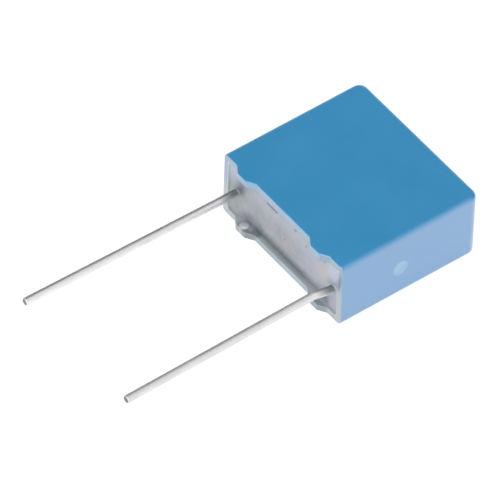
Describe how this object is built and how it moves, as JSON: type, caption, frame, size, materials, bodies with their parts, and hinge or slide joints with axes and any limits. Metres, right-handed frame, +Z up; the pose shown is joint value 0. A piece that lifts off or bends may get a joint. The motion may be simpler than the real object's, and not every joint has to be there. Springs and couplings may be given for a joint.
{
  "type": "polyester film capacitor",
  "caption": "Flat rectangular film capacitor in a blue moulded box, sealed with pale resin, with parallel round wire leads and stand-off feet on the open end.",
  "frame": {"origin": "middle of the large face that the case lies on", "axes": "+X from the left lead to the right one, +Y from the leads towards the closed end, +Z up off the face it lies on"},
  "size_m": [0.018, 0.0399, 0.0077],
  "materials": {
    "case": "satin moulded plastic, blue",
    "resin": "cast epoxy resin, pale grey, slightly glossy",
    "film": "metallised polyester film, wound and pressed",
    "sprayed_metal": "sprayed zinc, rough",
    "lead_wire": "tinned copper-clad steel wire"
  },
  "bodies": {
    "root": {"case": "case", "potting_resin": "resin", "film_winding": "film", "end_spray_left": "sprayed_metal", "end_spray_right": "sprayed_metal", "lead_left": "lead_wire", "lead_right": "lead_wire"}
  },
  "joints": []
}
